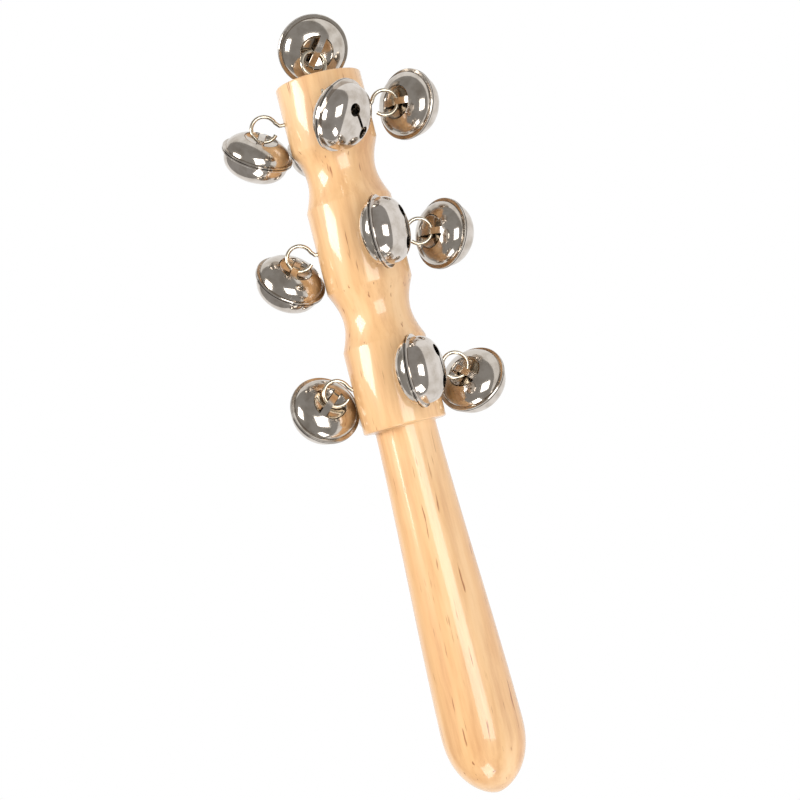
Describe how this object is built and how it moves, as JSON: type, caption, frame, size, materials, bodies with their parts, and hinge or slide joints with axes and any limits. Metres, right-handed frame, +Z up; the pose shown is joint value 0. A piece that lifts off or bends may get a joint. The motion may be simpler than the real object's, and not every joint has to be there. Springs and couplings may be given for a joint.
{
  "type": "jingle stick",
  "caption": "Turned wooden stick with pressed-steel jingle bells hung on screw eyes round its head and a swelling handle.",
  "frame": {"origin": "on the table, under the middle of the whole object's bounding box", "axes": "+Y towards the head end with the top bell, +Z up, the stick lying on its lower bells"},
  "size_m": [0.0628, 0.2652, 0.0642],
  "materials": {
    "lacquered_maple": "clear gloss lacquer",
    "plated_wire": "bright nickel plate on drawn wire",
    "nickel_base": "bright nickel plate on pressed steel",
    "nickel_crown": "bright nickel plate on pressed steel",
    "pellet_steel": "dull rolled steel"
  },
  "bodies": {
    "stick": {"turned_stick": "lacquered_maple", "head_screw_eye": "plated_wire", "row1_front_screw_eye": "plated_wire", "row1_right_screw_eye": "plated_wire", "row1_back_screw_eye": "plated_wire", "row1_left_screw_eye": "plated_wire", "row2_front_screw_eye": "plated_wire", "row2_right_screw_eye": "plated_wire", "row2_back_screw_eye": "plated_wire", "row2_left_screw_eye": "plated_wire", "row3_front_screw_eye": "plated_wire", "row3_right_screw_eye": "plated_wire", "row3_back_screw_eye": "plated_wire", "row3_left_screw_eye": "plated_wire"},
    "head_bell": {"head_bell_base": "nickel_base", "head_bell_crown": "nickel_crown"},
    "head_ball": {"head_pellet": "pellet_steel"},
    "row1_front_bell": {"row1_front_bell_base": "nickel_base", "row1_front_bell_crown": "nickel_crown"},
    "row1_front_ball": {"row1_front_pellet": "pellet_steel"},
    "row1_right_bell": {"row1_right_bell_base": "nickel_base", "row1_right_bell_crown": "nickel_crown"},
    "row1_right_ball": {"row1_right_pellet": "pellet_steel"},
    "row1_back_bell": {"row1_back_bell_base": "nickel_base", "row1_back_bell_crown": "nickel_crown"},
    "row1_back_ball": {"row1_back_pellet": "pellet_steel"},
    "row1_left_bell": {"row1_left_bell_base": "nickel_base", "row1_left_bell_crown": "nickel_crown"},
    "row1_left_ball": {"row1_left_pellet": "pellet_steel"},
    "row2_front_bell": {"row2_front_bell_base": "nickel_base", "row2_front_bell_crown": "nickel_crown"},
    "row2_front_ball": {"row2_front_pellet": "pellet_steel"},
    "row2_right_bell": {"row2_right_bell_base": "nickel_base", "row2_right_bell_crown": "nickel_crown"},
    "row2_right_ball": {"row2_right_pellet": "pellet_steel"},
    "row2_back_bell": {"row2_back_bell_base": "nickel_base", "row2_back_bell_crown": "nickel_crown"},
    "row2_back_ball": {"row2_back_pellet": "pellet_steel"},
    "row2_left_bell": {"row2_left_bell_base": "nickel_base", "row2_left_bell_crown": "nickel_crown"},
    "row2_left_ball": {"row2_left_pellet": "pellet_steel"},
    "row3_front_bell": {"row3_front_bell_base": "nickel_base", "row3_front_bell_crown": "nickel_crown"},
    "row3_front_ball": {"row3_front_pellet": "pellet_steel"},
    "row3_right_bell": {"row3_right_bell_base": "nickel_base", "row3_right_bell_crown": "nickel_crown"},
    "row3_right_ball": {"row3_right_pellet": "pellet_steel"},
    "row3_back_bell": {"row3_back_bell_base": "nickel_base", "row3_back_bell_crown": "nickel_crown"},
    "row3_back_ball": {"row3_back_pellet": "pellet_steel"},
    "row3_left_bell": {"row3_left_bell_base": "nickel_base", "row3_left_bell_crown": "nickel_crown"},
    "row3_left_ball": {"row3_left_pellet": "pellet_steel"}
  },
  "joints": [
    {"name": "head_swing", "type": "hinge", "parent": "stick", "child": "head_bell", "pos_m": [0.0012, 0.11938, 0.03234], "axis": [-0.4139, 0.4721, 0.7784], "range_deg": [-121, 1]},
    {"name": "head_roll", "type": "hinge", "parent": "head_bell", "child": "head_ball", "pos_m": [0.0012, 0.11938, 0.03234], "axis": [-0.6412, 0.4557, -0.6174], "continuous": true},
    {"name": "row1_front_swing", "type": "hinge", "parent": "stick", "child": "row1_front_bell", "pos_m": [0.01373, 0.0938, 0.05231], "axis": [0.431, 0.6467, 0.6293], "range_deg": [-103, 17]},
    {"name": "row1_front_roll", "type": "hinge", "parent": "row1_front_bell", "child": "row1_front_ball", "pos_m": [0.01373, 0.0938, 0.05231], "axis": [0.8394, -0.5433, -0.0166], "continuous": true},
    {"name": "row1_right_swing", "type": "hinge", "parent": "stick", "child": "row1_right_bell", "pos_m": [0.01837, 0.09735, 0.01734], "axis": [0.1558, 0.9825, -0.102], "range_deg": [-106, 26]},
    {"name": "row1_right_roll", "type": "hinge", "parent": "row1_right_bell", "child": "row1_right_ball", "pos_m": [0.01837, 0.09735, 0.01734], "axis": [0.1361, -0.1237, -0.9829], "continuous": true},
    {"name": "row1_back_swing", "type": "hinge", "parent": "stick", "child": "row1_back_bell", "pos_m": [-0.01511, 0.09493, 0.01598], "axis": [-0.5216, 0.6367, -0.5679], "range_deg": [-63, 39]},
    {"name": "row1_back_roll", "type": "hinge", "parent": "row1_back_bell", "child": "row1_back_ball", "pos_m": [-0.01511, 0.09493, 0.01598], "axis": [-0.5545, -0.7589, -0.3415], "continuous": true},
    {"name": "row1_left_swing", "type": "hinge", "parent": "stick", "child": "row1_left_bell", "pos_m": [-0.0174, 0.09337, 0.0488], "axis": [-0.6556, 0.4635, 0.5962], "range_deg": [0, 66]},
    {"name": "row1_left_roll", "type": "hinge", "parent": "row1_left_bell", "child": "row1_left_ball", "pos_m": [-0.0174, 0.09337, 0.0488], "axis": [-0.6653, -0.728, -0.1656], "continuous": true},
    {"name": "row2_front_swing", "type": "hinge", "parent": "stick", "child": "row2_front_bell", "pos_m": [0.01648, 0.05171, 0.05021], "axis": [0.0921, 0.9858, 0.1402], "range_deg": [-132, 0]},
    {"name": "row2_front_roll", "type": "hinge", "parent": "row2_front_bell", "child": "row2_front_ball", "pos_m": [0.01648, 0.05171, 0.05021], "axis": [0.9514, -0.0456, -0.3047], "continuous": true},
    {"name": "row2_right_swing", "type": "hinge", "parent": "stick", "child": "row2_right_bell", "pos_m": [0.01869, 0.0524, 0.01542], "axis": [0.2066, 0.9673, -0.1475], "range_deg": [-101, 31]},
    {"name": "row2_right_roll", "type": "hinge", "parent": "row2_right_bell", "child": "row2_right_ball", "pos_m": [0.01869, 0.0524, 0.01542], "axis": [0.2105, -0.1911, -0.9587], "continuous": true},
    {"name": "row2_back_swing", "type": "hinge", "parent": "stick", "child": "row2_back_bell", "pos_m": [-0.01609, 0.05291, 0.01335], "axis": [-0.1149, 0.9889, -0.0943], "range_deg": [-24, 108]},
    {"name": "row2_back_roll", "type": "hinge", "parent": "row2_back_bell", "child": "row2_back_ball", "pos_m": [-0.01609, 0.05291, 0.01335], "axis": [0.0171, -0.093, -0.9955], "continuous": true},
    {"name": "row2_left_swing", "type": "hinge", "parent": "stick", "child": "row2_left_bell", "pos_m": [-0.01697, 0.04899, 0.04682], "axis": [-0.6064, 0.568, 0.5565], "range_deg": [0, 88]},
    {"name": "row2_left_roll", "type": "hinge", "parent": "row2_left_bell", "child": "row2_left_ball", "pos_m": [-0.01697, 0.04899, 0.04682], "axis": [-0.7768, -0.5728, -0.2617], "continuous": true},
    {"name": "row3_front_swing", "type": "hinge", "parent": "stick", "child": "row3_front_bell", "pos_m": [0.01636, 0.0056, 0.0484], "axis": [0.0692, 0.991, 0.1144], "range_deg": [-132, 0]},
    {"name": "row3_front_roll", "type": "hinge", "parent": "row3_front_bell", "child": "row3_front_ball", "pos_m": [0.01636, 0.0056, 0.0484], "axis": [0.9525, -0.0315, -0.3029], "continuous": true},
    {"name": "row3_right_swing", "type": "hinge", "parent": "stick", "child": "row3_right_bell", "pos_m": [0.01813, 0.00403, 0.01416], "axis": [0.5742, 0.6608, -0.4834], "range_deg": [-110, 22]},
    {"name": "row3_right_roll", "type": "hinge", "parent": "row3_right_bell", "child": "row3_right_ball", "pos_m": [0.01813, 0.00403, 0.01416], "axis": [-0.1133, -0.5207, -0.8462], "continuous": true},
    {"name": "row3_back_swing", "type": "hinge", "parent": "stick", "child": "row3_back_bell", "pos_m": [-0.01478, 0.00397, 0.01305], "axis": [-0.5216, 0.6367, -0.5679], "range_deg": [-64, 40]},
    {"name": "row3_back_roll", "type": "hinge", "parent": "row3_back_bell", "child": "row3_back_ball", "pos_m": [-0.01478, 0.00397, 0.01305], "axis": [-0.5545, -0.7589, -0.3415], "continuous": true},
    {"name": "row3_left_swing", "type": "hinge", "parent": "stick", "child": "row3_left_bell", "pos_m": [-0.01672, 0.00332, 0.04493], "axis": [-0.5015, 0.7266, 0.4696], "range_deg": [0, 126]},
    {"name": "row3_left_roll", "type": "hinge", "parent": "row3_left_bell", "child": "row3_left_ball", "pos_m": [-0.01672, 0.00332, 0.04493], "axis": [-0.8427, -0.2874, -0.4552], "continuous": true}
  ]
}
